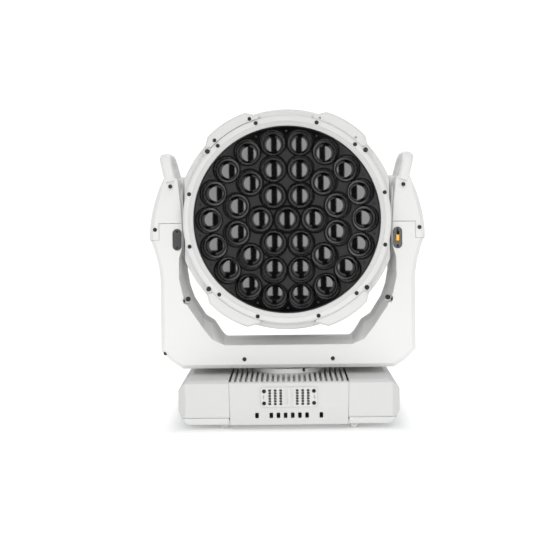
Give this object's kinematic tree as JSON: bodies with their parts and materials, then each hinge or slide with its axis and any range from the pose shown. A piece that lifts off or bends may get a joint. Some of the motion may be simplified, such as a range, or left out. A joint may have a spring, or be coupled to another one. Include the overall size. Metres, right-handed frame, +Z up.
{
  "type": "moving head light",
  "caption": "Moving head wash light: a round head with recessed lenses under a white bezel tilts in a U-shaped yoke with carrying handles, which pans on a finned base.",
  "frame": {"origin": "on the pan axis, in the plane that the rubber feet stand on, which is the bottom centre of the whole object's box", "axes": "+Z up along the pan axis, -Y out of the lenses at rest, +X to the right seen from the front, along the tilt axis"},
  "size_m": [0.5, 0.3001, 0.5637],
  "materials": {
    "white_shell": "satin, fine texture",
    "white_cast": "satin powder coat",
    "black_plastic": "fine grain",
    "grey_plate": "fine grain",
    "yellow_tab": "moulded",
    "screw_black": "black oxide",
    "lens_glass": "polished",
    "display_glass": "gloss window in a dark frame",
    "rubber_black": "moulded",
    "rubber_pale": "moulded",
    "steel": "plated",
    "alloy": "machined or extruded",
    "motor_black": "satin",
    "circuit_board": "solder resist",
    "button_grey": "soft key"
  },
  "bodies": {
    "base": {"base_tray": "white_cast", "left_wing_cover": "white_shell", "right_wing_cover": "white_shell", "centre_housing": "white_cast", "vent_plate": "white_shell", "base_screws": "screw_black", "rubber_feet": "rubber_pale", "bracket_sockets": "steel", "safety_eye": "steel", "pan_hub": "alloy", "pan_collar": "white_cast", "power_supply": "steel", "control_board": "circuit_board", "display_window": "display_glass", "power_connectors": "black_plastic", "signal_connectors": "black_plastic"},
    "pan_lock": {"pan_lock_tab": "black_plastic"},
    "menu_key": {"menu_button": "button_grey"},
    "enter_key": {"enter_button": "button_grey"},
    "up_key": {"up_button": "button_grey"},
    "down_key": {"down_button": "button_grey"},
    "yoke": {"yoke_front_cover": "white_shell", "yoke_rear_cover": "white_shell", "left_shoulder_cover": "white_shell", "right_shoulder_cover": "white_shell", "yoke_frame": "steel", "tilt_bosses": "white_cast", "yoke_bearings": "steel", "pan_motor": "motor_black", "pan_belt": "rubber_black", "tilt_motor": "motor_black", "tilt_belt": "rubber_black", "left_blank_plate": "grey_plate", "right_lock_plate": "black_plastic", "yoke_screws": "screw_black"},
    "pan_drive": {"pan_motor_pulley": "alloy"},
    "tilt_drive": {"tilt_motor_pulley": "alloy"},
    "tilt_lock": {"tilt_lock_slider": "yellow_tab"},
    "head": {"front_bezel": "white_cast", "window_gasket": "rubber_black", "front_baffle": "black_plastic", "guide_rods": "steel", "zoom_motors": "motor_black", "head_frame": "alloy", "tilt_pulley": "alloy", "led_board": "circuit_board", "light_rods": "lens_glass", "heat_sink": "alloy", "fan_frames": "black_plastic", "head_housing": "white_shell", "upper_left_lobe": "white_shell", "drum_lobes": "white_shell", "rear_cover": "white_shell", "head_screws": "screw_black"},
    "zoom_carriage": {"lens_carrier": "black_plastic", "lenses": "lens_glass"},
    "zoom_screw_a": {"zoom_screw_top": "steel"},
    "zoom_screw_b": {"zoom_screw_left": "steel"},
    "left_fan": {"left_fan_rotor": "black_plastic"},
    "right_fan": {"right_fan_rotor": "black_plastic"}
  },
  "joints": [
    {"name": "pan", "type": "hinge", "parent": "base", "child": "yoke", "pos_m": [0, 0, 0.1], "axis": [0, 0, 1], "range_deg": [-270, 270]},
    {"name": "tilt", "type": "hinge", "parent": "yoke", "child": "head", "pos_m": [0, 0, 0.3667], "axis": [1, 0, 0], "range_deg": [-110, 110]},
    {"name": "pan_pulley_spin", "type": "hinge", "parent": "yoke", "child": "pan_drive", "pos_m": [0.096, 0, 0.105], "axis": [0, 0, 1], "range_deg": [-1640, 1640]},
    {"name": "tilt_pulley_spin", "type": "hinge", "parent": "yoke", "child": "tilt_drive", "pos_m": [-0.209, 0, 0.141], "axis": [1, 0, 0], "range_deg": [-680, 680]},
    {"name": "tilt_lock_slide", "type": "slide", "parent": "yoke", "child": "tilt_lock", "axis": [0, 0, 1], "range_m": [0, 0.006]},
    {"name": "pan_lock_slide", "type": "slide", "parent": "base", "child": "pan_lock", "axis": [0, -1, 0], "range_m": [0, 0.005]},
    {"name": "zoom", "type": "slide", "parent": "head", "child": "zoom_carriage", "axis": [0, -1, 0], "range_m": [0, 0.03]},
    {"name": "zoom_screw_a_spin", "type": "hinge", "parent": "head", "child": "zoom_screw_a", "pos_m": [0, 0, 0.5427], "axis": [0, 1, 0], "range_deg": [-10, 1090]},
    {"name": "zoom_screw_b_spin", "type": "hinge", "parent": "head", "child": "zoom_screw_b", "pos_m": [-0.15242, 0, 0.2787], "axis": [0, 1, 0], "range_deg": [-10, 1090]},
    {"name": "left_fan_spin", "type": "hinge", "parent": "head", "child": "left_fan", "pos_m": [-0.062, 0.08, 0.3667], "axis": [0, 1, 0], "continuous": true},
    {"name": "right_fan_spin", "type": "hinge", "parent": "head", "child": "right_fan", "pos_m": [0.062, 0.08, 0.3667], "axis": [0, 1, 0], "continuous": true},
    {"name": "menu_press", "type": "slide", "parent": "base", "child": "menu_key", "axis": [0, -1, 0], "range_m": [0, 0.0012], "stiffness_N_per_m": 400},
    {"name": "enter_press", "type": "slide", "parent": "base", "child": "enter_key", "axis": [0, -1, 0], "range_m": [0, 0.0012], "stiffness_N_per_m": 400},
    {"name": "up_press", "type": "slide", "parent": "base", "child": "up_key", "axis": [0, -1, 0], "range_m": [0, 0.0012], "stiffness_N_per_m": 400},
    {"name": "down_press", "type": "slide", "parent": "base", "child": "down_key", "axis": [0, -1, 0], "range_m": [0, 0.0012], "stiffness_N_per_m": 400}
  ],
  "couplings": [
    {"joint": "pan_pulley_spin", "follows": "pan", "ratio": -6},
    {"joint": "tilt_pulley_spin", "follows": "tilt", "ratio": 6},
    {"joint": "zoom_screw_a_spin", "follows": "zoom", "rad_per_m": 628.32},
    {"joint": "zoom_screw_b_spin", "follows": "zoom", "rad_per_m": 628.32}
  ]
}
